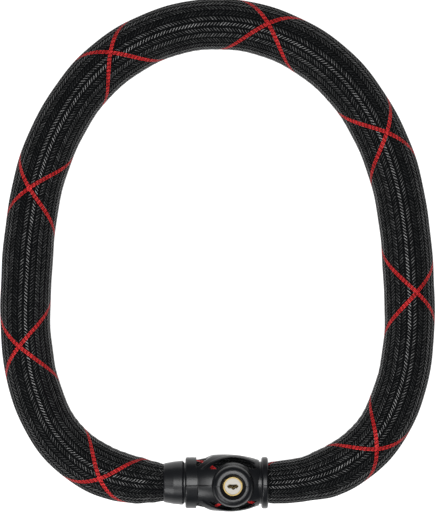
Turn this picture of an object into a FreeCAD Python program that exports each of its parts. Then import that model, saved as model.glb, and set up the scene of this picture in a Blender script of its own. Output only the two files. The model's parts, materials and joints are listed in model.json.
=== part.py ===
"""A sleeved chain lock, closed but not yet locked, lying flat on a surface.

A square-bar chain runs inside a woven sleeve. One end is pinned in the lock. The other ends in a grooved bolt
that plugs into the lock, where a sliding latch plate closes round the groove. The plate is driven by a spiral
cam under the disc cylinder.

Frame: +Z up and along the key, +Y from the lock across the loop, +X from the bolt to the chain's fixed end.
The origin is on the surface, under the middle of the loop. The lock's own pieces are drawn about the chain's
line at the middle of the lock and then placed. Lengths are millimetres.
"""
import FreeCAD, Part
import math
import os
import re

import Sketcher

Vector = FreeCAD.Vector
Rotation = FreeCAD.Rotation
Placement = FreeCAD.Placement

# ---------------------------------------------------------------------------------------------------------
# Driving dimensions
# ---------------------------------------------------------------------------------------------------------
DIMENSIONS = {
    # how far cutting shapes run past what they cut, and the gaps of parts that are fitted into each other
    "beyond": 40.0,
    "press_gap": 0.05,
    "running_gap": 0.15,
    "room_gap": 0.2,
    "loose_gap": 0.3,
    # chain: odd links stand upright, even links lie flat
    "stock": 7.0,
    "stock_corner": 1.8,
    "link_inner_length": 35.7,
    "link_inner_width": 11.0,
    # woven sleeve, one section over each flat link
    "sleeve_radius": 15.5,
    "sleeve_wall": 1.1,
    "section_gap": 3.4,
    "sleeve_bend": 52.0,
    # forks that hold the chain's two ends, and the fork pins
    "joint_x": 33.0,
    "fork_slot": 8.4,
    "fork_start": 4.9,
    "fork_pin_x": 9.3,
    "fork_pin_radius": 3.7,
    "lock_fork_radius": 10.3,
    "lock_fork_length": 16.5,
    "bolt_fork_radius": 9.4,
    "bolt_fork_length": 15.0,
    # outline of the lock: an oval collar, a long egg round the cylinder, a neck and an end flange
    "collar_left": 19.7,
    "collar_right": 12.7,
    "collar_half_width": 15.65,
    "collar_half_height": 14.7,
    "egg_x": 4.0,
    "egg_half_length": 36.0,
    "egg_half_width": 17.4,
    "egg_half_height": 16.0,
    "neck_radius": 13.0,
    "neck_start": 24.0,
    "neck_end": 31.0,
    "flange_start": 27.0,
    "flange_radius": 15.8,
    # layers under that outline; each stops that far short of the collar's edge
    "layer_start": 19.2,
    "cover_wall": 1.2,
    "sleeve_inset": 1.3,
    "band_top_inset": 1.25,
    "band_bottom_inset": 1.72,
    "band_left": 19.0,
    "band_right": 14.7,
    "body_inset": 2.5,
    # boss of the cover, round the cylinder
    "key_x": 9.3,
    "boss_foot": 14.3,
    "boss_foot_height": 8.5,
    "boss_waist_height": 12.5,
    "boss_waist_flare": 0.7,
    "boss_radius": 12.2,
    "boss_top": 21.0,
    "boss_crest_round": 3.6,
    "boss_flare_round": 3.5,
    "crater_radius": 7.1,
    "crater_hole": 6.1,
    "crater_depth": 2.4,
    "crater_lip": 0.7,
    "flange_round": 1.2,
    "collar_round": 1.0,
    # side arches of the cover, in plan: arcs about points across the lock
    "arch_radius": 29.9,
    "arch_offset": 10.3,
    "window_radius": 20.3,
    "window_offset": 4.1,
    "window_floor": 2.0,
    "window_margin": 0.6,
    "web_half_width": 9.8,
    "bead_radius": 29.1,
    "bead_width": 1.0,
    "bead_offset": 11.8,
    "bead_height": 0.55,
    "bead_floor": 1.0,
    "bead_left": 10.6,
    "bead_right": 23.0,
    "notch_left": 13.1,
    "notch_round": 0.95,
    "notch_half_width": 11.9,
    # cylinder
    "barrel_radius": 8.0,
    "barrel_nose": 5.6,
    "barrel_back": 4.6,
    "barrel_shoulder": 13.6,
    "barrel_front": 18.4,
    "rotor_radius": 5.95,
    "rotor_nose": 4.9,
    "rotor_shoulder": 12.0,
    "rotor_front": 18.0,
    "rotor_back": 6.1,
    "disc_radius": 4.2,
    "disc_floor": 3.6,
    "disc_thickness": 1.6,
    "spacer_thickness": 0.85,
    "keyway_length": 6.8,
    "keyway_width": 2.4,
    "keyway_point": 0.7,
    "keyway_bulge": 1.1,
    "gate_radius": 0.6,
    "spacer_hole": 3.6,
    "front_disc_thickness": 1.4,
    "disc_gap": 0.02,
    "sidebar_half_width": 0.7,
    "sidebar_back": 5.8,
    "sidebar_room_back": 6.9,
    "sidebar_slit_back": 6.5,
    "clip_groove": 5.3,
    "clip_radius": 7.2,
    "clip_top": 4.7,
    "clip_thickness": 0.7,
    "clip_opening": 2.5,
    "retaining_radius": 1.2,
    "retaining_half_length": 9.3,
    "retaining_offset": 8.0,
    "retaining_height": 7.5,
    "drill_pin_radius": 1.0,
    "drill_pin_top": 8.4,
    "drill_pin_bottom": 1.0,
    "drill_pin_offset": 10.0,
    # cam and latch plate
    "cam_radius": 8.0,
    "cam_back": 8.0,
    "cam_start": 2.8,
    "latch_travel": 2.6,
    "follower_radius": 1.0,
    "arm_top": 8.2,
    "arm_bottom": 10.0,
    "arm_half_width": 1.8,
    "arm_overhang": 1.9,
    "riser_top": 4.0,
    "slot_gap": 0.12,
    "plate_x": 7.0,
    "plate_thickness": 4.0,
    "plate_radius": 7.2,
    "plate_hole": 5.2,
    "base_top": 10.4,
    "base_half_width": 7.7,
    "base_left": 15.6,
    "base_right": 22.6,
    "screw_radius": 1.0,
    "screw_head_radius": 1.9,
    "screw_head_top": 10.8,
    "screw_head_height": 0.7,
    "screw_top": 6.5,
    "screw_left_x": 13.0,
    "screw_right_x": 20.3,
    "screw_y": 4.4,
    # bolt
    "bolt_radius": 5.0,
    "bolt_tip": 0.8,
    "bolt_neck": 3.3,
    "bolt_groove": 4.8,
    "bolt_bore": 5.25,
    "bolt_point": 3.4,
    "bolt_point_length": 1.6,
    "fork_root": 1.0,
    "end_pin_half_length": 8.5,
    "anchor_pin_half_length": 9.5,
    "ring_groove": 4.2,
    "ring_outer": 4.9,
    "ring_left": 14.2,
    "ring_right": 12.6,
    "seal_inner": 5.6,
    "seal_outer": 7.45,
    "seal_left": 19.1,
    "seal_right": 16.3,
    "shoulder_left": 23.6,
    "shoulder_right": 21.7,
    "shoulder_radius": 9.8,
    "ferrule_left": 33.0,
    "ferrule_right": 20.65,
    "ferrule_small": 11.8,
    "ferrule_large": 13.5,
    "ferrule_wall": 0.7,
    "ferrule_lip": 12.3,
    "ferrule_lip_end": 19.55,
    "ferrule_crown": 0.35,
    "ferrule_bevel": 0.9,
    "ferrule_web": 2.2,
    "crimp_inner": 10.65,
    "crimp_outer": 11.0,
    "crimp_left": 30.0,
    "crimp_right": 25.0,
    # each end of the sleeve, in stations along the chain's line from the joint: how far on, and the radius
    "end_wall": 0.95,
    "end_tuck": 9.2,
    "end_tuck_radius": 10.6,
    "end_open": 3.6,
    "end_open_radius": 12.8,
    "end_full": 9.0,
    "end_full_radius": 14.2,
    "start_tuck": 5.0,
    "start_root": 2.0,
    "start_swell": 0.06,
    "skin_short": 4.6,
    "start_open": 3.0,
    "start_open_radius": 13.1,
    "start_full": 9.0,
    "start_full_radius": 14.1,
    "half_link_radius": 15.0,
}
LINK_COUNT = 23
CODE_DISCS = 7
BISECTIONS = 60
TOLERANCE = 0.01
CAM_STEPS = 12
# Half of the loop, from the lock's joint to the top: the radius of each arc and its turn in degrees.
HALF_LOOP = ((95.0, 18.9), (67.0, 48.1), (124.0, 21.3), (441.0, 8.9), (158.0, 24.9), (104.0, 57.9))

doc = FreeCAD.newDocument("chain_lock")
sheet = doc.addObject("Spreadsheet::Sheet", "dims")
size = {}
finished = []


def store(alias, value):
    """Puts a dimension in the sheet under its alias."""
    row = len(size) + 1
    sheet.set(f"A{row}", alias)
    sheet.set(f"B{row}", repr(float(value)))
    sheet.setAlias(f"B{row}", alias)
    size[alias] = float(value)


for dimension, millimetres in DIMENSIONS.items():
    store(dimension, millimetres)


# ---------------------------------------------------------------------------------------------------------
# The chain's line: every pivot of the closed loop
# ---------------------------------------------------------------------------------------------------------
def along_half_loop(distance, scale):
    """The point at that distance from the lock's joint along half of the loop."""
    x, y, heading = size["joint_x"], 0.0, 0.0
    for arc_radius, arc_turn in HALF_LOOP:
        radius = arc_radius * scale
        turn = min(distance / radius, math.radians(arc_turn))
        x += radius * (math.sin(heading + turn) - math.sin(heading))
        y += radius * (math.cos(heading) - math.cos(heading + turn))
        heading += turn
        distance -= radius * turn
        if distance <= 0:
            break
    return x + distance * math.cos(heading), y + distance * math.sin(heading)


def pivots_of_half(scale):
    """The pivots from the lock's joint to the top link, each a link's span on from the last."""
    upright = size["link_inner_length"] + size["stock"]
    flat = size["link_inner_length"] - size["link_inner_width"]
    found, walked = [(size["joint_x"], 0.0)], 0.0
    for link in range(1, (LINK_COUNT + 1) // 2):
        span = upright if link % 2 else flat
        low, high = walked + span, walked + 1.2 * span
        for _ in range(BISECTIONS):
            middle = (low + high) / 2
            if math.dist(along_half_loop(middle, scale), found[-1]) < span:
                low = middle
            else:
                high = middle
        walked = high
        found.append(along_half_loop(walked, scale))
    return found


def whole_loop():
    """All the pivots, for the size of loop whose top link lies square across the middle."""
    half_top_link = (size["link_inner_length"] - size["link_inner_width"]) / 2
    low, high = 0.8, 1.25
    for _ in range(BISECTIONS):
        scale = (low + high) / 2
        if pivots_of_half(scale)[-1][0] > half_top_link:
            high = scale
        else:
            low = scale
    right_half = pivots_of_half(scale)
    return right_half + [(-x, y) for x, y in reversed(right_half)]


loop = whole_loop()
loop_height = max(y for _, y in loop)
# The outline is centred on the origin: the lock bulges lower than the sleeve does at the top.
store("lock_y", (size["egg_half_width"] - size["sleeve_radius"] - loop_height) / 2)
pivots = [Vector(x, y + size["lock_y"], size["sleeve_radius"]) for x, y in loop]
# how far the first link turns away from the lock's line
LINK_TURN = math.degrees(math.atan2(loop[1][1] - loop[0][1], loop[1][0] - loop[0][0]))
doc.recompute()


# ---------------------------------------------------------------------------------------------------------
# Helpers: every size is an expression in the sheet's aliases
# ---------------------------------------------------------------------------------------------------------
ALONG_X = Rotation(Vector(0, 1, 0), 90)
ALONG_Y = Rotation(Vector(1, 0, 0), -90)
# right through, and up through everything
PAST = ("-beyond", "beyond")
ABOVE = ("0", "beyond")


def named_cells(text):
    """The expression with each alias pointing at the sheet."""
    return re.sub(r"[a-z][a-z_]*", lambda word: ("dims." if word[0] in size else "") + word[0], text)


def value_of(text):
    return float(sheet.evalExpression(named_cells(text)))


def bind(feature, prop, text):
    feature.setExpression(prop, named_cells(text))


def move(feature, x="0", y="0", z="0", rotation=None):
    """Places a feature, with its position bound to the sheet."""
    feature.Placement = Placement(Vector(value_of(x), value_of(y), value_of(z)), rotation or Rotation())
    for axis, text in zip("xyz", (x, y, z)):
        bind(feature, "Placement.Base." + axis, text)
    return feature


def rod(name, radius, low, high, rotation):
    feature = doc.addObject("Part::Cylinder", name)
    bind(feature, "Radius", radius)
    bind(feature, "Height", f"({high}) - ({low})")
    feature.Placement.Rotation = rotation
    return feature


def rod_x(name, radius, low, high, y="0", z="0"):
    return move(rod(name, radius, low, high, ALONG_X), low, y, z, ALONG_X)


def rod_y(name, radius, low, high, x="0", z="0"):
    return move(rod(name, radius, low, high, ALONG_Y), x, low, z, ALONG_Y)


def rod_z(name, radius, low, high, x="0", y="0"):
    return move(rod(name, radius, low, high, Rotation()), x, y, low)


def box(name, x, y, z):
    """A box between the two ends given for each axis."""
    feature = doc.addObject("Part::Box", name)
    for prop, (low, high) in zip(("Length", "Width", "Height"), (x, y, z)):
        bind(feature, prop, f"({high}) - ({low})")
    return move(feature, x[0], y[0], z[0])


def joined(name, shapes):
    feature = doc.addObject("Part::MultiFuse", name)
    feature.Shapes = shapes
    return feature


def overlap(name, shapes):
    feature = doc.addObject("Part::MultiCommon", name)
    feature.Shapes = shapes
    return feature


def cut(name, base, tools):
    feature = doc.addObject("Part::Cut", name)
    feature.Base = base
    feature.Tool = tools[0] if len(tools) == 1 else joined(name + "_tools", tools)
    return feature


def gathered(name, pieces):
    """Separate solids kept as one sub-part."""
    feature = doc.addObject("Part::Compound", name)
    feature.Links = pieces
    return feature


def rounded(name, base, radius, picked):
    """A fillet on the edges that picked(edge) accepts."""
    doc.recompute()
    feature = doc.addObject("Part::Fillet", name)
    feature.Base = base
    chosen = [i for i, edge in enumerate(base.Shape.Edges, 1) if picked(edge)]
    feature.Edges = [(i, radius, radius) for i in chosen]
    return feature


def upright_edge(edge):
    """Whether the edge is a straight one that stands upright."""
    return isinstance(edge.Curve, Part.Line) and abs(edge.tangentAt(0).z) > 0.9


def circle_at(edge, radius, height):
    """Whether the edge is a level circle of that radius and height."""
    curve = edge.Curve
    return (isinstance(curve, Part.Circle) and abs(curve.Radius - radius) < TOLERANCE
            and abs(curve.Center.z - height) < TOLERANCE)


def profile_on(body, name, role):
    """A sketch on one of the body's own planes."""
    sketch = body.newObject("Sketcher::SketchObject", name)
    plane = next(f for f in body.Origin.OriginFeatures if f.Role == role)
    sketch.AttachmentSupport = [(plane, "")]
    sketch.MapMode = "FlatFace"
    return sketch


def bound_constraint(sketch, text, *parts):
    """A constraint whose value is an expression."""
    index = sketch.addConstraint(Sketcher.Constraint(*parts, value_of(text)))
    sketch.setExpression(f"Constraints[{index}]", named_cells(text))


def turned(name, points, axis="Z"):
    """A body turned about Z, from (radius, z) points, or about X, from (x, radius) points."""
    body = doc.addObject("PartDesign::Body", name)
    sketch = profile_on(body, name + "_profile", "XZ_Plane")
    corners = [Vector(value_of(a), value_of(b), 0) for a, b in points]
    count = len(corners)
    for i in range(count):
        sketch.addGeometry(Part.LineSegment(corners[i], corners[(i + 1) % count]))
    for i in range(count):
        sketch.addConstraint(Sketcher.Constraint("Coincident", i, 2, (i + 1) % count, 1))
    for i, (a, b) in enumerate(points):
        bound_constraint(sketch, a, "DistanceX", -1, 1, i, 1)
        bound_constraint(sketch, b, "DistanceY", -1, 1, i, 1)
    revolution = body.newObject("PartDesign::Revolution", name + "_turned")
    revolution.Profile = sketch
    revolution.ReferenceAxis = (sketch, ["V_Axis" if axis == "Z" else "H_Axis"])
    revolution.Angle = 360
    body.Tip = revolution
    return body


def ring_x(name, inner, outer, low, high):
    return turned(name, ((low, inner), (low, outer), (high, outer), (high, inner)), "X")


def made_by_code(name, shape):
    """A shape that no feature makes."""
    feature = doc.addObject("Part::Feature", name)
    feature.Shape = shape
    return feature


def link_end(side, forward=0.0):
    """The frame of the chain's joint in the lock's coordinates, X along the first or last link."""
    turn = Rotation(Vector(0, 0, 1), LINK_TURN if side > 0 else 180 - LINK_TURN)
    return Placement(Vector(side * size["joint_x"], 0, 0) + turn.multVec(Vector(forward, 0, 0)), turn)


def in_link_frame(feature, side):
    """Moves a feature drawn about the chain's joint to the lock's right or left end."""
    local = feature.Placement
    for axis in "xyz":
        feature.setExpression("Placement.Base." + axis, None)
    feature.Placement = link_end(side).multiply(local)
    return feature


def sub_part(label, feature, place=None):
    """Registers a finished sub-part. Without a place, it is one of the lock's own pieces."""
    feature.Label = label
    if place is None:
        move(feature, "0", "lock_y", "sleeve_radius")
    else:
        feature.Placement = place
    finished.append(feature)


# ---------------------------------------------------------------------------------------------------------
# Chain and sleeve sections
# ---------------------------------------------------------------------------------------------------------
def stadium(sketch, length, radius):
    """A slot outline: its centres that length apart, and its end radius."""
    half, r, first = value_of(length) / 2, value_of(radius), sketch.GeometryCount
    up = Vector(0, 0, 1)
    right_end, left_end = Part.Circle(Vector(half, 0, 0), up, r), Part.Circle(Vector(-half, 0, 0), up, r)
    sketch.addGeometry(Part.LineSegment(Vector(-half, -r, 0), Vector(half, -r, 0)))
    sketch.addGeometry(Part.ArcOfCircle(right_end, -math.pi / 2, math.pi / 2))
    sketch.addGeometry(Part.LineSegment(Vector(half, r, 0), Vector(-half, r, 0)))
    sketch.addGeometry(Part.ArcOfCircle(left_end, math.pi / 2, 1.5 * math.pi))
    for i in range(4):
        sketch.addConstraint(Sketcher.Constraint("Tangent", first + i, 2, first + (i + 1) % 4, 1))
    sketch.addConstraint(Sketcher.Constraint("Horizontal", first))
    sketch.addConstraint(Sketcher.Constraint("Symmetric", first + 1, 3, first + 3, 3, -1, 1))
    sketch.addConstraint(Sketcher.Constraint("PointOnObject", first + 1, 3, -1))
    bound_constraint(sketch, radius, "Radius", first + 1)
    bound_constraint(sketch, length, "DistanceX", first + 3, 3, first + 1, 3)


def link_body(name):
    """One link: a padded slot outline with every edge rounded."""
    body = doc.addObject("PartDesign::Body", name)
    sketch = profile_on(body, name + "_outline", "XY_Plane")
    stadium(sketch, "link_inner_length - link_inner_width", "link_inner_width / 2 + stock")
    stadium(sketch, "link_inner_length - link_inner_width", "link_inner_width / 2")
    pad = body.newObject("PartDesign::Pad", name + "_bar")
    pad.Profile = sketch
    pad.Midplane = True
    bind(pad, "Length", "stock")
    doc.recompute()
    fillet = body.newObject("PartDesign::Fillet", name + "_rounding")
    rims = [i for i, edge in enumerate(pad.Shape.Edges, 1) if abs(edge.CenterOfMass.z) > 0.1]
    fillet.Base = (pad, [f"Edge{i}" for i in rims])
    bind(fillet, "Radius", "stock_corner")
    body.Tip = fillet
    return body


def chain_links():
    for i in range(LINK_COUNT):
        start, end = pivots[i], pivots[i + 1]
        heading = Rotation(Vector(1, 0, 0), end - start)
        roll = Rotation(Vector(1, 0, 0), 90 if i % 2 == 0 else 0)
        sub_part(f"chain_link_{i + 1:02d}", link_body(f"link_{i + 1:02d}"),
                 Placement((start + end) / 2, heading.multiply(roll)))


def bent_line(points, radius):
    """Straight runs through the points, joined by arcs."""
    edges, begin = [], points[0]
    for before, corner, after in zip(points, points[1:], points[2:]):
        inward, outward = (corner - before).normalize(), (after - corner).normalize()
        half_turn = inward.getAngle(outward) / 2
        reach = radius * math.tan(half_turn)
        start, stop = corner - inward * reach, corner + outward * reach
        middle = corner + (outward - inward).normalize() * radius * (1 / math.cos(half_turn) - 1)
        edges += [Part.LineSegment(begin, start).toShape(), Part.Arc(start, middle, stop).toShape()]
        begin = stop
    edges.append(Part.LineSegment(begin, points[-1]).toShape())
    return Part.Wire(edges)


def sleeve_sections():
    """Bent tubes over the flat links, each from mid-length of one upright link to mid-length of the next."""
    half_gap = size["section_gap"] / 2
    for i in range(1, LINK_COUNT - 1, 2):
        first, last = (pivots[i - 1] + pivots[i]) / 2, (pivots[i + 1] + pivots[i + 2]) / 2
        first += (pivots[i] - first).normalize() * half_gap
        last += (pivots[i + 1] - last).normalize() * half_gap
        line = bent_line([first, pivots[i], pivots[i + 1], last], size["sleeve_bend"])
        bars = []
        for radius in (size["sleeve_radius"], size["sleeve_radius"] - size["sleeve_wall"]):
            circle = Part.Circle(first, pivots[i] - first, radius)
            bars.append(line.makePipe(Part.Face(Part.Wire(circle.toShape()))))
        tube = made_by_code(f"sleeve_{i + 1:02d}", bars[0].cut(bars[1]))
        sub_part(f"sleeve_section_{i + 1:02d}", tube, Placement())


# ---------------------------------------------------------------------------------------------------------
# Outline of the lock, which its layers share
# ---------------------------------------------------------------------------------------------------------
def outline(name, inset, left, right):
    """The collar, egg and neck, all that much smaller, between two ends."""
    oval = doc.addObject("Part::Ellipse", name + "_oval")
    bind(oval, "MajorRadius", f"collar_half_width - ({inset})")
    bind(oval, "MinorRadius", f"collar_half_height - ({inset})")
    move(oval, left, "0", "0", Rotation(Vector(0, 1, 0), Vector(0, 0, 1), Vector(1, 0, 0), "ZXY"))
    collar = doc.addObject("Part::Extrusion", name + "_collar")
    collar.Base = oval
    collar.DirMode = "Custom"
    collar.Dir = Vector(1, 0, 0)
    bind(collar, "LengthFwd", f"-collar_right + 0.7 - ({left})")
    collar.Solid = True
    egg = doc.addObject("Part::Ellipsoid", name + "_whole_egg")
    bind(egg, "Radius1", f"egg_half_length - ({inset})")
    bind(egg, "Radius2", f"egg_half_height - ({inset})")
    bind(egg, "Radius3", f"egg_half_width - ({inset})")
    move(egg, "egg_x", "0", "0", ALONG_X)
    trim = box(name + "_trim", ("-collar_right", "neck_start + 1.5"), PAST, PAST)
    neck = rod_x(name + "_neck", f"neck_radius - ({inset})", "neck_start", right)
    return joined(name, [collar, overlap(name + "_egg", [egg, trim]), neck])


def layer_ring(name, top_inset, bottom_inset):
    """A ring round the collar end, between two depths under the outline."""
    layers = [outline(f"{name}_{part}", inset, "-layer_start", "neck_end")
              for part, inset in (("top", top_inset), ("bottom", bottom_inset))]
    zone = box(name + "_zone", ("-band_left", "-band_right"), PAST, PAST)
    return overlap(name, [cut(name + "_layer", layers[0], [layers[1]]), zone])


def bent_shell(name, stations, side, ruled):
    """A solid through circles (forward, radius) along the chain's line at one end, smooth or ruled."""
    circles = []
    for i, (ahead, radius) in enumerate(stations):
        forward = value_of(ahead)
        circle = doc.addObject("Part::Circle", f"{name}_{i}")
        bind(circle, "Radius", radius)
        if forward < 0:
            place = Placement(Vector(side * (size["joint_x"] + forward), 0, 0), ALONG_X)
        else:
            facing = ALONG_X if side > 0 else ALONG_X.inverted()
            place = link_end(side, forward).multiply(Placement(Vector(), facing))
        circle.Placement = place
        circles.append(circle)
    loft = doc.addObject("Part::Loft", name)
    loft.Sections = circles
    loft.Solid = True
    loft.Ruled = ruled
    return loft


HALF_LINK = "((link_inner_length + stock) / 2 - section_gap / 2)"
STACK_TOP = f"-disc_floor + {CODE_DISCS} * (disc_thickness + spacer_thickness) + front_disc_thickness"
SCREW_PLACES = [(x, y) for x in ("-screw_left_x", "screw_right_x") for y in ("-screw_y", "screw_y")]


# ---------------------------------------------------------------------------------------------------------
# Lock: cover, sleeve end, body
# ---------------------------------------------------------------------------------------------------------
def cover_boss():
    """The round boss, flared at the foot, with a crater round the cylinder's face."""
    waist = ("boss_radius + boss_waist_flare", "boss_waist_height")
    boss = turned("boss_blank", (("0", "0"), ("boss_foot", "0"), ("boss_foot", "boss_foot_height"), waist,
                                 ("boss_radius", "boss_top"), ("0", "boss_top")))
    move(boss, "key_x")
    crest = rounded("boss_crest", boss, size["boss_crest_round"],
                    lambda e: circle_at(e, size["boss_radius"], size["boss_top"]))
    return rounded("boss_flare", crest, size["boss_flare_round"],
                   lambda e: circle_at(e, value_of(waist[0]), value_of(waist[1])))


def cover_windows():
    """In plan: openings between boss and side arches, and notches between collar and arches."""
    inner, outer, rounds = [], [], []
    for i, side in enumerate(("-", "")):
        inner.append(rod_z(f"window_arc_{i}", "window_radius", "window_floor", "beyond", "key_x",
                           f"{side}window_offset"))
        outer.append(rod_z(f"arch_outer_{i}", "arch_radius", *PAST, "key_x", f"{side}arch_offset"))
        rounds.append(rod_z(f"notch_round_{i}", "notch_round", *PAST, "-notch_left + notch_round",
                            f"{side}notch_half_width"))
    keep = [rod_z("boss_keep", "boss_foot - window_margin - press_gap", *ABOVE, "key_x"),
            box("web_keep", PAST, ("-web_half_width", "web_half_width"), ABOVE)]
    windows = cut("windows", overlap("between_arches", inner), keep)
    flanks = box("flanks", ("-notch_left", "key_x"), PAST, PAST)
    spine = box("spine_keep", PAST, ("-notch_half_width", "notch_half_width"), PAST)
    notches = cut("notches", flanks, [overlap("arches_whole", outer), spine])
    return [windows, notches] + rounds


def cover_beads():
    """The raised bead that runs over each side arch, above its window."""
    skin = outline("bead_skin", "-bead_height", "-layer_start", "neck_end")
    beads = []
    sides = (("-", ("web_half_width", "beyond")), ("", ("-beyond", "-web_half_width")))
    for i, (side, across) in enumerate(sides):
        centre = ("key_x", f"{side}bead_offset")
        arc = rod_z(f"bead_arc_{i}", "bead_radius", "bead_floor", "beyond", *centre)
        hollow = rod_z(f"bead_hollow_{i}", "bead_radius - bead_width", *ABOVE, *centre)
        zone = box(f"bead_zone_{i}", ("-bead_left", "bead_right"), across, ("bead_floor", "beyond"))
        beads.append(overlap(f"bead_{i}", [cut(f"bead_ring_{i}", arc, [hollow]), zone, skin]))
    return beads


def lock_cover():
    flange = rounded("flange", rod_x("flange_blank", "flange_radius", "flange_start", "neck_end"),
                     size["flange_round"], lambda e: True)
    skin = outline("cover_skin", "0", "-collar_left", "flange_start + flange_round")
    skin = rounded("cover_skin_round", skin, size["collar_round"],
                   lambda e: abs(e.BoundBox.XMax + size["collar_left"]) < TOLERANCE)
    outer = joined("cover_outer", [skin, cover_boss(), flange] + cover_beads())
    inner = outline("cover_inside", "cover_wall", "-collar_left - cover_wall", "neck_end + cover_wall")
    bore = rod_z("cover_barrel_room", "barrel_radius + room_gap / 2", "0", "barrel_shoulder + room_gap / 2",
                 "key_x")
    hole = rod_z("cover_hole", "crater_hole", *ABOVE, "key_x")
    floor = "boss_top - crater_depth"
    crater = turned("cover_crater", (("0", floor), ("crater_hole", floor),
                                     ("crater_radius", "boss_top - crater_lip"),
                                     ("crater_radius + 1.25 * crater_lip", "boss_top + press_gap"),
                                     ("0", "boss_top + press_gap")))
    move(crater, "key_x")
    below = box("below_surface", PAST, PAST, ("-beyond", "-sleeve_radius"))
    sub_part("lock_cover", cut("cover", outer, [inner, bore, hole, crater, below] + cover_windows()))


def sleeve_lock_section():
    """The fixed end of the sleeve, drawn over the whole lock body."""
    neck = "neck_radius - sleeve_inset + start_swell"
    outer_stations = (("-start_tuck", neck), ("-start_root", neck), ("start_open", "start_open_radius"),
                      ("start_full", "start_full_radius"), (HALF_LINK, "half_link_radius"))
    shells = []
    for name, thinner in (("outer", "0"), ("inner", "sleeve_wall - 2 * press_gap")):
        stations = [(forward, f"({radius}) - ({thinner})") for forward, radius in outer_stations]
        skin = outline(f"lock_sleeve_{name}", f"sleeve_inset + ({thinner})", "-layer_start",
                       "joint_x - skin_short")
        bend = bent_shell(f"lock_sleeve_{name}_bend", stations, 1, False)
        shells.append(joined(f"lock_sleeve_{name}_whole", [skin, bend]))
    keyhole = rod_z("lock_sleeve_keyhole", "barrel_radius + 2 * room_gap", *ABOVE, "key_x")
    seat = layer_ring("band_seat", "cover_wall", "band_bottom_inset + start_swell")
    band = layer_ring("band", "band_top_inset", "band_bottom_inset")
    sub_part("sleeve_lock_section", cut("lock_sleeve", shells[0], [shells[1], keyhole, seat]))
    sub_part("sleeve_band", band)


def fork(name, side, radius, length):
    """The round end of the lock body or bolt, and the cuts that make it a fork for the end link."""
    stem = in_link_frame(rod_x(name + "_stem", radius, "-fork_root", length), side)
    slot = box(name + "_slot", ("-fork_start", "beyond"), ("-fork_slot / 2", "fork_slot / 2"), PAST)
    hole = rod_y(name + "_hole", "fork_pin_radius", *PAST, "fork_pin_x")
    return stem, [in_link_frame(slot, side), in_link_frame(hole, side)]


def fork_pin(label, side, half_length):
    pin = rod_y(label + "_rod", "fork_pin_radius", "-" + half_length, half_length, "fork_pin_x")
    sub_part(label, gathered(label, [in_link_frame(pin, side)]))


def body_cavities():
    """The bores and pockets of the lock body."""
    plate_x = ("-plate_x - plate_thickness / 2 - room_gap", "-plate_x + plate_thickness / 2 + room_gap")
    plate_z = ("-plate_radius - room_gap - press_gap", "plate_radius + room_gap + press_gap")
    arm_y = ("cam_start - arm_half_width - loose_gap",
             "cam_start + latch_travel + arm_half_width + loose_gap")
    plate_ends = [rod_x(f"plate_room_{i}", plate_z[1], *plate_x, y)
                  for i, y in enumerate(("0", "latch_travel"))]
    return plate_ends + [
        box("plate_room_middle", plate_x, ("0", "latch_travel"), plate_z),
        box("arm_room", (plate_x[0], "key_x + arm_overhang + loose_gap"), arm_y,
            ("-base_top", "-arm_top + room_gap / 2")),
        box("riser_room", plate_x, arm_y, ("-base_top", "0")),
        rod_z("barrel_room", "barrel_radius", "-barrel_back", "beyond", "key_x"),
        rod_z("cam_room", "cam_radius + loose_gap", "-base_top", "-barrel_back", "key_x"),
        rod_x("bolt_room", "bolt_bore", "-beyond", "bolt_tip + 2 * room_gap"),
        rod_x("seal_room", "seal_outer + press_gap", "-beyond", "-seal_right + room_gap / 2"),
        rod_y("retaining_hole", "retaining_radius + press_gap", "-retaining_half_length - room_gap", "beyond",
              "key_x + retaining_offset", "retaining_height"),
    ]


def lock_body():
    stem, fork_cuts = fork("lock_fork", 1, "lock_fork_radius", "lock_fork_length")
    skin = outline("body_skin", "body_inset", "-layer_start", "joint_x")
    base_block = box("base_block", ("-base_left", "base_right"), ("-base_half_width", "base_half_width"),
                     ("-beyond", "-base_top"))
    drill_pins = list(enumerate(("-drill_pin_offset", "drill_pin_offset")))
    pin_holes = [rod_z(f"drill_pin_hole_{i}", "drill_pin_radius", "drill_pin_bottom", "beyond", "key_x", y)
                 for i, y in drill_pins]
    screw_holes = [rod_z(f"screw_hole_{i}", "screw_radius", "-beyond", "-screw_top + room_gap / 2", x, y)
                   for i, (x, y) in enumerate(SCREW_PLACES)]
    sub_part("lock_body", cut("body", joined("body_solid", [skin, stem]),
                              fork_cuts + body_cavities() + pin_holes + screw_holes + [base_block]))
    fork_pin("chain_anchor_pin", 1, "anchor_pin_half_length")
    pins = [rod_z(f"drill_pin_{i}", "drill_pin_radius", "drill_pin_bottom", "drill_pin_top", "key_x", y)
            for i, y in drill_pins]
    sub_part("anti_drill_pins", gathered("drill_pins", pins))


def base_plate():
    """The plate that closes the lock body underneath, and its four screws."""
    block = box("plate_block", ("-base_left + press_gap", "base_right - press_gap"),
                ("-base_half_width + press_gap", "base_half_width - press_gap"), ("-beyond", "-base_top"))
    skin = outline("plate_skin", "body_inset", "-layer_start", "joint_x")
    screws, holes = [], []
    for i, (x, y) in enumerate(SCREW_PLACES):
        shank = rod_z(f"screw_shank_{i}", "screw_radius", "-screw_head_top - press_gap", "-screw_top", x, y)
        head = rod_z(f"screw_head_{i}", "screw_head_radius", "-screw_head_top - screw_head_height",
                     "-screw_head_top", x, y)
        screws.append(overlap(f"screw_{i}", [joined(f"screw_blank_{i}", [shank, head]), skin]))
        holes.append(rod_z(f"plate_screw_hole_{i}", "screw_radius + press_gap", *PAST, x, y))
        holes.append(rod_z(f"plate_head_room_{i}", "screw_head_radius + press_gap", "-beyond",
                           "-screw_head_top", x, y))
    sub_part("base_plate", cut("plate", overlap("plate_blank", [block, skin]), holes))
    sub_part("base_plate_screws", gathered("screws", screws))


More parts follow.
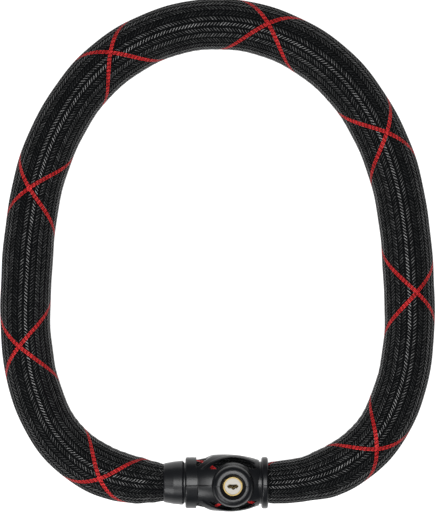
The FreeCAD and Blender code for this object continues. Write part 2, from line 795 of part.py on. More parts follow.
# ---------------------------------------------------------------------------------------------------------
# Cylinder
# ---------------------------------------------------------------------------------------------------------
def barrel():
    nose, bore, outer = "rotor_nose + running_gap", "rotor_radius + running_gap", "barrel_radius - press_gap"
    ledge = "rotor_shoulder + room_gap / 2"
    tube = turned("barrel_turned", (
        (nose, "barrel_front"), ("barrel_nose", "barrel_front"), ("barrel_nose", "barrel_shoulder"),
        (outer, "barrel_shoulder"), (outer, "-barrel_back"), (bore, "-barrel_back"), (bore, ledge),
        (nose, ledge)))
    move(tube, "key_x")
    pin_place = ("key_x + retaining_offset", "retaining_height")
    notch = rod_y("barrel_notch", "retaining_radius + 2 * press_gap", *PAST, *pin_place)
    groove = box("sidebar_groove", ("key_x - sidebar_half_width - 2 * press_gap",
                                    "key_x + sidebar_half_width + 2 * press_gap"),
                 ("-sidebar_room_back", "-rotor_nose"), ("-disc_floor", "rotor_shoulder"))
    sub_part("cylinder_barrel", cut("barrel", tube, [notch, groove]))
    pin = rod_y("retaining_rod", "retaining_radius", "-retaining_half_length", "retaining_half_length",
                *pin_place)
    sub_part("barrel_retaining_pin", gathered("retaining_pin", [pin]))


def keyway(name, low, high):
    """The key's path: a slot with pointed ends and a small bulge on one side."""
    half_slot = "(keyway_length / 2 - keyway_point)"
    slot = box(name + "_slot", (f"key_x - {half_slot}", f"key_x + {half_slot}"),
               ("-keyway_width / 2", "keyway_width / 2"), (low, high))
    ends = [rod_z(f"{name}_end_{i}", "keyway_point", low, high, f"key_x {sign} {half_slot}")
            for i, sign in enumerate("-+")]
    bulge = rod_z(name + "_bulge", "keyway_bulge", low, high, "key_x + loose_gap",
                  "-keyway_width / 2 + loose_gap")
    return joined(name, [slot, bulge] + ends)


def rotor():
    """The turning core, with its disc room, sidebar slit and keyway."""
    rim = "-barrel_back - press_gap"
    groove_bottom = "-clip_top - clip_thickness - 2 * press_gap"
    blank = turned("rotor_turned", (
        ("0", "rotor_front"), ("rotor_nose", "rotor_front"), ("rotor_nose", "rotor_shoulder"),
        ("rotor_radius", "rotor_shoulder"), ("rotor_radius", rim), ("clip_groove", rim),
        ("clip_groove", groove_bottom), ("rotor_radius", groove_bottom), ("rotor_radius", "-rotor_back"),
        ("0", "-rotor_back")))
    move(blank, "key_x")
    room = rod_z("disc_room", "disc_radius + press_gap", "-disc_floor", STACK_TOP, "key_x")
    slit = box("sidebar_slit",
               ("key_x - sidebar_half_width - press_gap", "key_x + sidebar_half_width + press_gap"),
               ("-sidebar_slit_back", "-disc_floor"), ("-disc_floor", "rotor_shoulder - 3 * room_gap"))
    sub_part("plug_rotor", cut("rotor", blank, [room, slit, keyway("rotor_keyway", *ABOVE)]))
    bar = box("sidebar_bar", ("key_x - sidebar_half_width", "key_x + sidebar_half_width"),
              ("-sidebar_back", "-disc_radius - room_gap / 2"),
              ("-disc_floor + room_gap / 2", "rotor_shoulder - 4 * room_gap"))
    sub_part("sidebar", rounded("sidebar_rounded", bar, size["loose_gap"], upright_edge))


def disc_stack():
    """Code discs and spacers by turns, and the front disc."""
    discs, spacers = [], []
    for i in range(CODE_DISCS):
        floor = f"-disc_floor + {i} * (disc_thickness + spacer_thickness)"
        middle, top = f"{floor} + disc_thickness", f"{floor} + disc_thickness + spacer_thickness"
        disc = rod_z(f"code_disc_{i}", "disc_radius", floor, f"{middle} - disc_gap", "key_x")
        gate = rod_z(f"code_gate_{i}", "gate_radius", *PAST, f"key_x + {i % 3 - 1} * gate_radius / 2",
                     "-disc_radius")
        discs.append(cut(f"code_{i}", disc, [keyway(f"code_keyway_{i}", *PAST), gate]))
        spacer = rod_z(f"spacer_{i}", "disc_radius", middle, f"{top} - disc_gap", "key_x")
        hole = rod_z(f"spacer_hole_{i}", "spacer_hole", *PAST, "key_x")
        spacers.append(cut(f"spacer_cut_{i}", spacer, [hole]))
    sub_part("code_discs", gathered("all_code_discs", discs))
    sub_part("spacer_discs", gathered("all_spacers", spacers))
    front = rod_z("front_disc", "disc_radius", STACK_TOP + " - front_disc_thickness + disc_gap",
                  STACK_TOP + " - disc_gap", "key_x")
    sub_part("keyway_disc", cut("front_disc_cut", front, [keyway("front_keyway", *PAST)]))


def clip():
    """The open ring that holds the rotor in the barrel."""
    inner = "clip_groove + press_gap"
    low, high = "-clip_top - clip_thickness - press_gap", "-clip_top - press_gap"
    ring = turned("clip_ring", ((inner, low), ("clip_radius", low), ("clip_radius", high), (inner, high)))
    move(ring, "key_x")
    opening = box("clip_opening_cut", ("key_x", "beyond"), ("-clip_opening", "clip_opening"), PAST)
    sub_part("retaining_clip", cut("clip", ring, [opening]))


# ---------------------------------------------------------------------------------------------------------
# Cam and latch
# ---------------------------------------------------------------------------------------------------------
def spiral_slot():
    """The cam's slot: its radius grows evenly as the plug turns a quarter."""
    half_width = size["follower_radius"] + size["slot_gap"]
    quarter, spill = math.pi / 2, 0.06
    growth = size["latch_travel"] / quarter
    centre = Vector(size["key_x"], 0, -size["cam_back"] - 1)
    sides, tips = ([], []), []
    for i in range(CAM_STEPS + 1):
        turn = -spill + (quarter + 2 * spill) * i / CAM_STEPS
        radius = size["cam_start"] + growth * turn
        outward = Vector(math.sin(turn), math.cos(turn), 0)
        along = (Vector(math.cos(turn), -math.sin(turn), 0) * radius + outward * growth).normalize()
        across = Vector(0, 0, 1).cross(along)
        middle = centre + outward * radius
        for points, sign in zip(sides, (1, -1)):
            points.append(middle + across * half_width * sign)
        tips.append(middle + along * half_width * (1 if i else -1))
    curves = []
    for points in sides:
        curve = Part.BSplineCurve()
        curve.interpolate(points)
        curves.append(curve.toShape())
    caps = [Part.Arc(sides[0][end], tips[end], sides[1][end]).toShape() for end in (0, -1)]
    slot = Part.Wire(Part.__sortEdges__(curves + caps))
    return made_by_code("spiral", Part.Face(slot).extrude(Vector(0, 0, size["cam_back"] / 2)))


def cam_and_latch():
    disc = rod_z("cam_blank", "cam_radius", "-cam_back", "-rotor_back", "key_x")
    sub_part("cam_disc", cut("cam", disc, [spiral_slot()]))
    plate_x = ("-plate_x - plate_thickness / 2", "-plate_x + plate_thickness / 2")
    arm_y = ("cam_start - arm_half_width", "cam_start + arm_half_width")
    plate = joined("plate_solid", [
        rod_x("plate_disc", "plate_radius", *plate_x),
        box("riser", plate_x, arm_y, ("-arm_bottom", "-riser_top")),
        box("arm", (plate_x[0], "key_x + arm_overhang"), arm_y, ("-arm_bottom", "-arm_top"))])
    neck = "bolt_neck + running_gap"
    through = ("-plate_x - plate_thickness", "-plate_x + plate_thickness")
    keyhole = [rod_x("plate_hole", "plate_hole", *through),
               rod_x("neck_hole", neck, *through, y="-latch_travel"),
               box("neck_way", through, ("-latch_travel", "0"), (f"-({neck})", neck)),
               rod_z("follower_hole", "follower_radius", "-beyond", "-arm_top + 1", "key_x", "cam_start")]
    sub_part("latch_plate", cut("latch", plate, keyhole))
    pin = rod_z("follower", "follower_radius", "-arm_bottom", "-rotor_back - room_gap", "key_x", "cam_start")
    sub_part("follower_pin", gathered("follower_in_arm", [pin]))


# ---------------------------------------------------------------------------------------------------------
# Bolt and ferrule at the chain's free end
# ---------------------------------------------------------------------------------------------------------
def bolt():
    groove = ("-plate_x - bolt_groove / 2", "-plate_x + bolt_groove / 2")
    shank = turned("bolt_turned", (
        ("-joint_x", "0"), ("-joint_x", "bolt_fork_radius"), ("-shoulder_left", "bolt_fork_radius"),
        ("-shoulder_left", "shoulder_radius"), ("-shoulder_right", "shoulder_radius"),
        ("-shoulder_right", "bolt_radius"), ("-ring_left", "bolt_radius"), ("-ring_left", "ring_groove"),
        ("-ring_right", "ring_groove"), ("-ring_right", "bolt_radius"), (groove[0], "bolt_radius"),
        (groove[0], "bolt_neck"), (groove[1], "bolt_neck"), (groove[1], "bolt_radius"),
        ("bolt_tip - bolt_point_length", "bolt_radius"), ("bolt_tip", "bolt_point"), ("bolt_tip", "0")), "X")
    stem, fork_cuts = fork("bolt_fork", -1, "bolt_fork_radius", "bolt_fork_length")
    sub_part("locking_bolt", cut("bolt", joined("bolt_solid", [shank, stem]), fork_cuts))
    sub_part("bolt_seal_ring", ring_x("bolt_seal", "ring_groove", "ring_outer", "-ring_left + room_gap / 2",
                                      "-ring_right - room_gap / 2"))
    fork_pin("end_pin", -1, "end_pin_half_length")
    sub_part("entry_seal", ring_x("seal", "seal_inner", "seal_outer", "-seal_left", "-seal_right"))


def ferrule():
    """The metal collar over the bolt's root and the end of the sleeve."""
    middle = "(ferrule_small + ferrule_large) / 2 + ferrule_crown"
    neck = "bolt_radius + loose_gap"
    blank = turned("ferrule_blank", (
        ("-ferrule_left", "ferrule_small - ferrule_wall"), ("-ferrule_left", "ferrule_small - room_gap"),
        ("-ferrule_left + 3 * room_gap", "ferrule_small + room_gap"),
        ("-(ferrule_left + ferrule_right) / 2", middle), ("-ferrule_right - ferrule_bevel", "ferrule_large"),
        ("-ferrule_right", "ferrule_large - ferrule_bevel"), ("-ferrule_right", "ferrule_lip"),
        ("-ferrule_lip_end", "ferrule_lip"), ("-ferrule_lip_end", neck), ("-shoulder_right", neck),
        ("-shoulder_right", "ferrule_large - ferrule_web"),
        ("-crimp_left", "ferrule_small - ferrule_wall + room_gap")), "X")
    sub_part("end_ferrule", blank)
    sub_part("end_crimp_ring", ring_x("crimp", "crimp_inner", "crimp_outer", "-crimp_left", "-crimp_right"))


def sleeve_end_section():
    """The free end of the sleeve, from inside the ferrule to half way along the last link."""
    stations = (("-end_tuck", "end_tuck_radius"), ("-press_gap", "end_tuck_radius"),
                ("end_open", "end_open_radius"), ("end_full", "end_full_radius"),
                (HALF_LINK, "half_link_radius"))
    inner_stations = [(ahead, radius + " - end_wall") for ahead, radius in stations]
    outer = bent_shell("bolt_sleeve_outer", stations, -1, True)
    inner = bent_shell("bolt_sleeve_inner", inner_stations, -1, True)
    sub_part("sleeve_end_section", cut("bolt_sleeve", outer, [inner]))


# ---------------------------------------------------------------------------------------------------------
# Checks and files
# ---------------------------------------------------------------------------------------------------------
def write_parts():
    doc.recompute()
    for feature in doc.Objects:
        if "Invalid" in feature.State or "Error" in feature.State:
            raise RuntimeError(f"{feature.Name} failed: {feature.State}")
    os.makedirs("parts", exist_ok=True)
    for feature in finished:
        shape = feature.Shape
        if shape.isNull() or not shape.isValid() or not shape.Solids:
            raise RuntimeError(f"{feature.Label} has no valid solid")
        shape.exportStep(os.path.join("parts", feature.Label + ".step"))
        print(f"{feature.Label}: {len(shape.Solids)} solids, {shape.Volume:.0f} mm3")


chain_links()
sleeve_sections()
lock_cover()
sleeve_lock_section()
lock_body()
base_plate()
barrel()
rotor()
disc_stack()
clip()
cam_and_latch()
bolt()
ferrule()
sleeve_end_section()
write_parts()
print(f"{len(finished)} sub-parts, first link turned {LINK_TURN:.2f} degrees, loop {loop_height:.2f} mm high")
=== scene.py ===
"""Looks for the sleeved chain lock: woven sleeve, moulded cover, metal cylinder, studio and camera."""

import json
import math

import bpy
import numpy as np
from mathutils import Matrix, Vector


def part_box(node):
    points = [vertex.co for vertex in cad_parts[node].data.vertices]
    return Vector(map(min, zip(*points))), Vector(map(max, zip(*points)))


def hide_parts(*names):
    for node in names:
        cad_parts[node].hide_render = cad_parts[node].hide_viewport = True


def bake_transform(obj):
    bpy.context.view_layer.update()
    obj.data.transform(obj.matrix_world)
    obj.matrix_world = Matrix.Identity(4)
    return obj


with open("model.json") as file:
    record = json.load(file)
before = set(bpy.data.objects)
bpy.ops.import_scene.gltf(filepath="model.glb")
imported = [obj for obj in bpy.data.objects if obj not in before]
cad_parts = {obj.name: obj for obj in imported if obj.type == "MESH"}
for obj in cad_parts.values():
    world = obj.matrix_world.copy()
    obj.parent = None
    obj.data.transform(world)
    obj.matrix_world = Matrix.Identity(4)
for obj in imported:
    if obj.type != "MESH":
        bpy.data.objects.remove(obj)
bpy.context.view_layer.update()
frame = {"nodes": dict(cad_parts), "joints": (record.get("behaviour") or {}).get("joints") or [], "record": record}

MM = 0.001
joints = {joint["name"]: joint for joint in frame["joints"]}
chain_joints = [joint for joint in frame["joints"] if "link" in joint["name"]]
pivots = [Vector(joint["pos_m"]) for joint in chain_joints]
key_axis = Vector(joints["plug_turn"]["pos_m"])
LOCK_Y = key_axis.y
AXIS_Z = key_axis.z
SLEEVE_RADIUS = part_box("sleeve_section_12")[1].z / 2


# ---------------------------------------------------------------------------------------------------------
# Material graphs
# ---------------------------------------------------------------------------------------------------------
class Graph:
    """Short calls for building one material's nodes."""

    def __init__(self, name):
        self.material = bpy.data.materials.new(name)
        self.material.use_nodes = True
        self.tree = self.material.node_tree
        self.shader = self.tree.nodes["Principled BSDF"]

    def link(self, source, socket):
        if isinstance(source, (int, float)):
            socket.default_value = source
        else:
            self.tree.links.new(source, socket)

    def math(self, operation, a, b=0.0, c=0.0):
        node = self.tree.nodes.new("ShaderNodeMath")
        node.operation = operation
        for source, socket in zip((a, b, c), node.inputs):
            self.link(source, socket)
        return node.outputs[0]

    def times(self, a, b):
        return self.math("MULTIPLY", a, b)

    def plus(self, a, b):
        return self.math("ADD", a, b)

    def minus(self, a, b):
        return self.math("SUBTRACT", a, b)

    def smooth_step(self, value, low, high):
        node = self.tree.nodes.new("ShaderNodeMapRange")
        node.interpolation_type = "SMOOTHSTEP"
        self.link(value, node.inputs["Value"])
        self.link(low, node.inputs["From Min"])
        self.link(high, node.inputs["From Max"])
        return node.outputs["Result"]

    def blend(self, share, first, second):
        """First colour at share 0, second at share 1."""
        node = self.tree.nodes.new("ShaderNodeMix")
        node.data_type = "RGBA"
        self.link(share, node.inputs[0])
        for socket, colour in ((node.inputs[6], first), (node.inputs[7], second)):
            if isinstance(colour, tuple):
                socket.default_value = (*colour, 1)
            else:
                self.link(colour, socket)
        return node.outputs[2]

    def noise(self, vector, scale, detail=2.0):
        node = self.tree.nodes.new("ShaderNodeTexNoise")
        self.link(vector, node.inputs["Vector"])
        node.inputs["Scale"].default_value = scale
        node.inputs["Detail"].default_value = detail
        return node.outputs[0]

    def random(self, x, y):
        """A steady random number for each pair of whole numbers."""
        pair = self.tree.nodes.new("ShaderNodeCombineXYZ")
        self.link(x, pair.inputs[0])
        self.link(y, pair.inputs[1])
        node = self.tree.nodes.new("ShaderNodeTexWhiteNoise")
        node.noise_dimensions = "2D"
        self.link(pair.outputs[0], node.inputs["Vector"])
        return node.outputs[0]

    def place(self):
        """The position on the piece, in metres."""
        return self.tree.nodes.new("ShaderNodeTexCoord").outputs["Object"]

    def split(self, vector):
        node = self.tree.nodes.new("ShaderNodeSeparateXYZ")
        self.link(vector, node.inputs[0])
        return node.outputs[:3]

    def bump(self, height, distance, strength=1.0, edge_radius=0.0):
        """Relief, over edges that look rounded if a radius is given."""
        node = self.tree.nodes.new("ShaderNodeBump")
        if edge_radius:
            edge = self.tree.nodes.new("ShaderNodeBevel")
            edge.inputs["Radius"].default_value = edge_radius
            self.tree.links.new(edge.outputs[0], node.inputs["Normal"])
        node.inputs["Strength"].default_value = strength
        node.inputs["Distance"].default_value = distance
        self.link(height, node.inputs["Height"])
        self.link(node.outputs[0], self.shader.inputs["Normal"])

    def surface(self, colour, roughness, metallic=0.0):
        if isinstance(colour, tuple):
            self.shader.inputs["Base Color"].default_value = (*colour, 1)
        else:
            self.link(colour, self.shader.inputs["Base Color"])
        self.link(roughness, self.shader.inputs["Roughness"])
        self.shader.inputs["Metallic"].default_value = metallic


# ---------------------------------------------------------------------------------------------------------
# Woven sleeve
# ---------------------------------------------------------------------------------------------------------
# braid and tracer threads: columns round the sleeve, lengths in millimetres, shift in turns
WEAVE_COLUMNS = 28
STROKE_PITCH = 2.0
STROKE_LEAN = 3.3
TRACER_PITCH = 98.4
TRACER_PITCH_BY_LOCK = 90.6
TRACER_PITCH_AT_END = 95.8
TRACER_PITCHES_BEFORE_END = 4
TRACER_CROSSING = 120.3
TRACER_SHIFT = 0.032
TRACER_HALF_WIDTH = 1.2
TRACER_EDGE = 0.12
TRACER_ROW = 0.82
TRACER_DASHES = 0.62
BRAID_DEPTH = 0.5
SLEEVE_UV = "sleeve_uv"

# how the sleeve is drawn; lengths in millimetres
RINGS_PER_HALF_SPAN = 17
POINTS_AROUND = 96
STRAIGHT_BY_LOCK = 12
KEYHOLE_RADIUS = 8.6
NECK_LENGTH = 47
END_LENGTH = 70


def sleeve_material():
    """Black herringbone braid, with a red tracer thread wound each way round it.

    The UV map holds the distance along the sleeve in metres and the turn round it from the top, from 0 to 1.
    """
    g = Graph("woven_sleeve")
    uv = g.tree.nodes.new("ShaderNodeUVMap")
    uv.uv_map = SLEEVE_UV
    along_m, turn, _ = g.split(uv.outputs[0])
    along = g.times(along_m, 1000.0)
    column = g.times(turn, float(WEAVE_COLUMNS))
    zigzag = g.math("ABSOLUTE", g.minus(g.times(g.math("FRACT", g.times(column, 0.5)), 2.0), 1.0))
    phase = g.plus(g.times(along, 1 / STROKE_PITCH), g.times(zigzag, STROKE_LEAN / STROKE_PITCH))
    stroke = g.math("FRACT", phase)
    across_stroke = g.math("ABSOLUTE", g.minus(g.times(stroke, 2.0), 1.0))
    strand = g.smooth_step(across_stroke, 1.0, 0.25)
    in_column = g.math("ABSOLUTE", g.minus(g.times(g.math("FRACT", column), 2.0), 1.0))
    tuck = g.smooth_step(in_column, 0.95, 0.45)
    height = g.times(strand, g.plus(g.times(tuck, 0.85), 0.15))
    fibres = g.math("SINE", g.times(phase, 6 * math.pi))
    chance = g.random(g.math("FLOOR", phase), g.math("FLOOR", column))

    past_crossing = g.minus(along, TRACER_CROSSING)
    steady = g.math("MINIMUM", g.times(past_crossing, 1 / TRACER_PITCH),
                    g.times(past_crossing, 1 / TRACER_PITCH_BY_LOCK))
    at_end = g.math("MAXIMUM", g.minus(past_crossing, TRACER_PITCHES_BEFORE_END * TRACER_PITCH), 0.0)
    wind = g.plus(steady, g.times(at_end, 1 / TRACER_PITCH_AT_END - 1 / TRACER_PITCH))
    tracers = []
    for direction in (1.0, -1.0):
        around = g.plus(g.minus(turn, TRACER_SHIFT), g.times(wind, direction))
        nearest = g.minus(g.math("FRACT", g.plus(around, 0.5)), 0.5)
        girth = 2 * math.pi * SLEEVE_RADIUS / MM
        offset = g.times(nearest, girth * math.cos(math.pi / 4))
        inside = g.smooth_step(g.math("ABSOLUTE", offset), TRACER_HALF_WIDTH + TRACER_EDGE,
                               TRACER_HALF_WIDTH - TRACER_EDGE)
        row = g.times(offset, 1 / TRACER_ROW)
        dash = g.plus(g.times(along, TRACER_DASHES), g.times(g.math("FLOOR", g.plus(row, 0.5)), 0.5))
        in_dash = g.math("ABSOLUTE", g.minus(g.times(g.math("FRACT", dash), 2.0), 1.0))
        knot = g.smooth_step(in_dash, 0.98, 0.72)
        in_row = g.math("ABSOLUTE", g.minus(g.times(g.math("FRACT", row), 2.0), 1.0))
        between = g.smooth_step(in_row, 0.0, 0.35)
        tracers.append((inside, g.times(inside, g.times(knot, between))))
    near_red = g.math("MAXIMUM", tracers[0][0], tracers[1][0])
    red = g.math("MAXIMUM", tracers[0][1], tracers[1][1])

    crest = g.times(height, g.plus(g.times(chance, 0.7), 0.65))
    worn = g.random(g.math("FLOOR", column), 7.0)
    glint = g.times(g.times(crest, crest), g.plus(g.times(worn, 0.55), 0.12))
    # the braid colour is painted darker in the valleys between strands (painted shade) and lighter on their crests
    # (painted highlight), with a random tone for each strand
    black = g.blend(crest, (0.0032, 0.0034, 0.0038), (0.0066, 0.0072, 0.0077))
    shaded_red = g.blend(chance, (0.34, 0.010, 0.012), (0.62, 0.030, 0.032))
    braid = g.blend(near_red, black, (0.004, 0.003, 0.003))
    colour = g.blend(red, braid, shaded_red)
    roughness = g.plus(g.times(g.minus(1.0, height), 0.4), g.plus(0.27, g.times(chance, 0.14)))
    g.surface(colour, roughness)
    off_red = g.minus(1.0, near_red)
    gloss = g.plus(g.times(glint, off_red), g.times(red, 0.12))
    g.link(gloss, g.shader.inputs["Specular IOR Level"])
    relief = g.plus(g.times(height, off_red), g.plus(g.times(red, 1.15), g.times(fibres, 0.05)))
    g.bump(relief, BRAID_DEPTH * MM)
    return g.material


def smooth_run(first, first_way, last, last_way, steps):
    """Points on the smooth curve that leaves first along one direction and reaches last along another."""
    reach = (last - first).length
    points = []
    for i in range(steps):
        t = i / steps
        points.append(first * (2 * t ** 3 - 3 * t ** 2 + 1) + first_way * reach * (t ** 3 - 2 * t ** 2 + t)
                      + last * (3 * t ** 2 - 2 * t ** 3) + last_way * reach * (t ** 3 - t ** 2))
    return points


def way_through(before, point, after):
    """The direction of the arc through three points, at the middle one."""
    inward, outward = point - before, after - point
    return (inward.normalized() * outward.length + outward.normalized() * inward.length).normalized()


def sleeve_line():
    """The sleeve's line through the chain's pivots, and the indices where the pieces start or end."""
    reach = STRAIGHT_BY_LOCK * MM
    collar = Vector((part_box("sleeve_lock_section")[0].x, LOCK_Y, AXIS_Z))
    leaving = Vector((pivots[0].x - reach, LOCK_Y, AXIS_Z))
    arriving = Vector((pivots[-1].x + reach, LOCK_Y, AXIS_Z))
    tuck = Vector((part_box("sleeve_end_section")[1].x, LOCK_Y, AXIS_Z))
    knots = [collar, leaving] + pivots + [arriving, tuck]
    ways = [Vector((1, 0, 0))] * 2 + [way_through(*knots[i - 1:i + 2]) for i in range(2, len(knots) - 2)]
    ways += [Vector((1, 0, 0))] * 2
    points, starts = [], [0]
    for i in range(len(knots) - 1):
        if 2 <= i < len(knots) - 3:
            starts.append(len(points) + RINGS_PER_HALF_SPAN)
        points += smooth_run(knots[i], ways[i], knots[i + 1], ways[i + 1], 2 * RINGS_PER_HALF_SPAN)
    points.append(tuck)
    starts.append(len(points) - 1)
    return points, starts


def eased(stations, x):
    """A smooth value between (place, value) stations."""
    places, values = zip(*stations)
    if x <= places[0]:
        return values[0]
    for i in range(len(places) - 1):
        if x < places[i + 1]:
            share = (x - places[i]) / (places[i + 1] - places[i])
            share = share * share * (3 - 2 * share)
            return values[i] + (values[i + 1] - values[i]) * share
    return values[-1]


# half width and half height of the sleeve, in millimetres, at distances from its two ends
NECK_WIDTHS = ((47, 11.8), (54, 12.9), (62, 13.3), (72, 13.6), (88, 15.1), (100, 15.5))
NECK_HEIGHTS = ((47, 11.8), (54, 13.0), (62, 13.9), (74, 14.2), (88, 15.2), (100, 15.5))
END_WIDTHS = ((12, 10.7), (15, 11.3), (22, 12.7), (32, 14.4), (44, 15.3), (60, 15.5))
END_HEIGHTS = ((12, 10.7), (15, 11.5), (20, 12.9), (28, 14.4), (44, 15.3), (60, 15.5))


def lock_half_size(x, half_width, half_height):
    """The sleeve's half width or height over the lock body, under the cover's egg and collar."""
    egg_x, egg_half_length, under = 4.0, 34.7, 1.35
    egg = math.sqrt(max(0.0, 1 - ((x - egg_x) / egg_half_length) ** 2))
    return (half_width - under) * egg if x > -12.5 else half_height


def sleeve_sizes(point, travelled, total):
    """Half width and half height of the sleeve at a point on its line, in millimetres."""
    left = total - travelled
    if travelled < NECK_LENGTH * MM:
        x = point.x / MM
        neck = eased(((20, 99.0), (27, 11.8)), x)
        return (min(lock_half_size(x, 17.4, 14.25), neck), min(lock_half_size(x, 16.0, 13.3), neck))
    if left < END_LENGTH * MM:
        return eased(END_WIDTHS, left / MM), eased(END_HEIGHTS, left / MM)
    return eased(NECK_WIDTHS, travelled / MM), eased(NECK_HEIGHTS, travelled / MM)


def tube_piece(name, centres, tangents, travelled, sizes, folds):
    """A length of sleeve, with distance and turn in its UV map."""
    around = POINTS_AROUND
    vertices, faces, uvs = [], [], []
    keyhole = KEYHOLE_RADIUS * MM
    for centre, tangent, distance, (width, height), fold in zip(centres, tangents, travelled, sizes, folds):
        outward = Vector((tangent.y, -tangent.x, 0))
        for i in range(around):
            angle = 2 * math.pi * i / around
            side, rise = math.sin(angle), math.cos(angle)
            crease = 1 - fold * max(0.0, -side) ** 2
            spot = centre + outward * side * width * MM * crease + Vector((0, 0, rise * height * MM))
            vertices.append(spot)
    for ring in range(len(centres) - 1):
        for i in range(around):
            following = (i + 1) % around
            spot = vertices[ring * around + i]
            if spot.z > AXIS_Z and (spot.xy - key_axis.xy).length < keyhole:
                continue
            faces.append((ring * around + i, ring * around + following,
                          (ring + 1) * around + following, (ring + 1) * around + i))
            for step, column in ((0, i), (0, i + 1), (1, i + 1), (1, i)):
                uvs.append((travelled[ring + step], column / around))
    mesh = bpy.data.meshes.new(name)
    mesh.from_pydata(vertices, [], faces)
    layer = mesh.uv_layers.new(name=SLEEVE_UV)
    layer.data.foreach_set("uv", np.array(uvs, np.float32).ravel())
    mesh.polygons.foreach_set("use_smooth", [True] * len(mesh.polygons))
    piece = bpy.data.objects.new(name, mesh)
    bpy.context.scene.collection.objects.link(piece)
    return piece


def sleeve():
    """The whole sleeve, as one piece for each chain joint."""
    points, starts = sleeve_line()
    count = len(points)
    travelled = [0.0]
    for a, b in zip(points, points[1:]):
        travelled.append(travelled[-1] + (b - a).length)
    total = travelled[-1]
    tangents = [(points[min(i + 1, count - 1)] - points[max(i - 1, 0)]).normalized() for i in range(count)]
    turns = [tangents[max(i - 1, 0)].angle(tangents[min(i + 1, count - 1)]) for i in range(count)]
    lengths = [travelled[min(i + 1, count - 1)] - travelled[max(i - 1, 0)] for i in range(count)]
    sizes, folds = [], []
    for i in range(count):
        width, height = sleeve_sizes(points[i], travelled[i], total)
        wander = 0.12 * math.sin(travelled[i] / MM / 11.3) + 0.1 * math.sin(travelled[i] / MM / 4.7 + 1.3)
        calm = 1.0 if 60 * MM < travelled[i] < total - 30 * MM else 0.0
        sizes.append((width + wander * calm, height))
        sharp = min(1.0, turns[i] / lengths[i] * 0.045)
        folds.append(0.03 * sharp ** 2 * (0.5 + 0.5 * math.sin(travelled[i] / MM * 2 * math.pi / 6.5)))
    paint = sleeve_material()
    for i, joint in enumerate(chain_joints):
        span = slice(starts[i], starts[i + 1] + 1)
        piece = tube_piece(f"woven_sleeve_{i + 1:02d}", points[span], tangents[span], travelled[span],
                           sizes[span], folds[span])
        piece.data.materials.append(paint)
        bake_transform(piece)
        if i == 0:
            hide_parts("sleeve_lock_section")
        elif i == len(chain_joints) - 1:
            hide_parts("sleeve_end_section")
        else:
            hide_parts(f"sleeve_section_{2 * ((i + 1) // 2):02d}")


# ---------------------------------------------------------------------------------------------------------
# Materials of the rigid pieces
# ---------------------------------------------------------------------------------------------------------
def cover_material():
    """Satin black moulding with a parting-line groove along the top, heaviest by the collar, painted darker along
    the groove as painted shade.
    """
    g = Graph("moulded_cover")
    place = g.place()
    x, y, z = g.split(place)
    off_line = g.times(g.math("ABSOLUTE", g.minus(y, LOCK_Y)), 1000.0)
    line = g.smooth_step(off_line, 0.42, 0.08)
    fade = g.plus(g.smooth_step(x, -0.004, -0.010), 0.22)
    on_top = g.smooth_step(z, AXIS_Z, AXIS_Z + 0.004)
    seam_groove_and_shade = g.times(g.times(line, g.math("MINIMUM", fade, 1.0)), on_top)
    mottle = g.noise(place, 260.0, 3.0)
    fine = g.noise(place, 2600.0, 2.0)
    # the parting-line groove is painted darker than the plastic round it: painted shade in the groove
    colour = g.blend(g.times(seam_groove_and_shade, 0.8), (0.0055, 0.006, 0.0072), (0.0012, 0.0012, 0.0012))
    g.surface(colour, g.plus(0.27, g.times(mottle, 0.08)))
    g.shader.inputs["Specular IOR Level"].default_value = 0.26
    g.bump(g.plus(g.minus(0.0, seam_groove_and_shade), g.times(fine, 0.04)), 0.35 * MM, 0.9, 0.5 * MM)
    return g.material


def ferrule_material():
    g = Graph("black_ferrule")
    place = g.place()
    x, y, z = g.split(place)
    stretched = g.tree.nodes.new("ShaderNodeCombineXYZ")
    for source, socket in zip((g.times(x, 0.25), y, z), stretched.inputs):
        g.link(source, socket)
    streaks = g.noise(stretched.outputs[0], 900.0, 3.0)
    colour = g.blend(streaks, (0.0055, 0.006, 0.0072), (0.009, 0.0095, 0.011))
    g.surface(colour, g.plus(0.30, g.times(streaks, 0.08)))
    g.shader.inputs["Specular IOR Level"].default_value = 0.3
    g.bump(g.noise(place, 1800.0), 0.03 * MM, 0.5, 0.4 * MM)
    return g.material


def metal_material(name, light, dark, roughness, grain=700.0):
    """Bare metal with faint tool marks and patchy gloss."""
    g = Graph(name)
    place = g.place()
    patches = g.noise(place, grain, 4.0)
    g.surface(g.blend(patches, dark, light), g.plus(roughness, g.times(patches, 0.18)), 1.0)
    g.bump(g.noise(place, grain * 5), 0.02 * MM, 0.6)
    return g.material


def rubber_material():
    g = Graph("black_rubber")
    place = g.place()
    g.surface((0.011, 0.011, 0.011), g.plus(0.62, g.times(g.noise(place, 1200.0), 0.2)))
    g.bump(g.noise(place, 4000.0), 0.03 * MM)
    return g.material


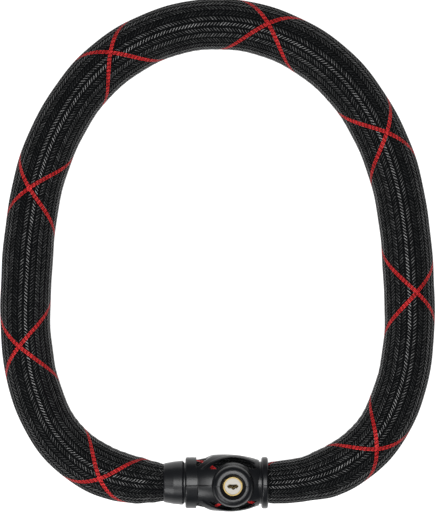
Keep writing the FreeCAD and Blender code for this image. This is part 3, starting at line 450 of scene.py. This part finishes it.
def paint_nodes():
    """Gives every rigid CAD node the finish of its material slot."""
    finishes = {
        "cover_plastic": cover_material(),
        "black_metal": ferrule_material(),
        "hardened_steel": metal_material("zinc_steel", (0.52, 0.52, 0.54), (0.36, 0.36, 0.38), 0.28),
        "bare_steel": metal_material("machined_steel", (0.42, 0.42, 0.43), (0.28, 0.28, 0.29), 0.36),
        # brass and nickel plate are painted far darker than their bare metals: painted shade for the discs deep in
        # the narrow keyway, which darkens every brass and plated part
        "brass": metal_material("turned_brass", (0.28, 0.21, 0.09), (0.16, 0.115, 0.045), 0.36),
        "plated_zinc": metal_material("nickel_plate", (0.27, 0.26, 0.24), (0.17, 0.16, 0.14), 0.42, 1400.0),
        "rubber": rubber_material(),
        "woven_sleeve": None,
    }
    for entry in frame["record"]["subparts"]:
        finish = finishes[entry["material_slot"]]
        node = frame["nodes"][entry["node"]]
        if finish:
            node.data.materials.clear()
            node.data.materials.append(finish)


# ---------------------------------------------------------------------------------------------------------
# Floor, lights and camera
# ---------------------------------------------------------------------------------------------------------
def area_light(name, place, size, power, target=(0, 0, 0)):
    light = bpy.data.lights.new(name, "AREA")
    light.shape = "RECTANGLE"
    light.size, light.size_y = size
    light.energy = power
    lamp = bpy.data.objects.new(name, light)
    lamp.location = place
    lamp.rotation_euler = (Vector(target) - Vector(place)).to_track_quat("-Z", "Y").to_euler()
    bpy.context.scene.collection.objects.link(lamp)


def studio():
    bpy.ops.mesh.primitive_plane_add(size=6, location=(0, 0, -0.0005))
    floor = bpy.context.object
    floor.name = "studio_floor"
    g = Graph("white_floor")
    g.surface((0.3, 0.3, 0.3), 0.9)
    g.shader.inputs["Emission Color"].default_value = (1, 1, 1, 1)
    g.shader.inputs["Emission Strength"].default_value = 1.0
    floor.data.materials.append(g.material)
    area_light("overhead", (0.0, 0.0, 1.5), (0.8, 0.8), 26)
    area_light("lower_left_key", (-0.45, -0.8, 0.8), (0.4, 0.4), 5.5, (0, -0.1, 0))
    world = bpy.data.worlds.new("studio_world")
    world.use_nodes = True
    world.node_tree.nodes["Background"].inputs["Color"].default_value = (1, 1, 1, 1)
    world.node_tree.nodes["Background"].inputs["Strength"].default_value = 0.06
    bpy.context.scene.world = world


def camera():
    """Straight above the loop, far enough back for the height of the lock to lean only a little."""
    data = bpy.data.cameras.new("camera")
    data.sensor_width = 36
    data.lens = 125.5
    data.clip_end = 20
    seen = bpy.data.objects.new("camera", data)
    seen.location = (0.0003, -0.0003, AXIS_Z + 1.1)
    bpy.context.scene.collection.objects.link(seen)
    bpy.context.scene.camera = seen


sleeve()
paint_nodes()
studio()
camera()
bpy.context.scene.view_settings.view_transform = "Standard"
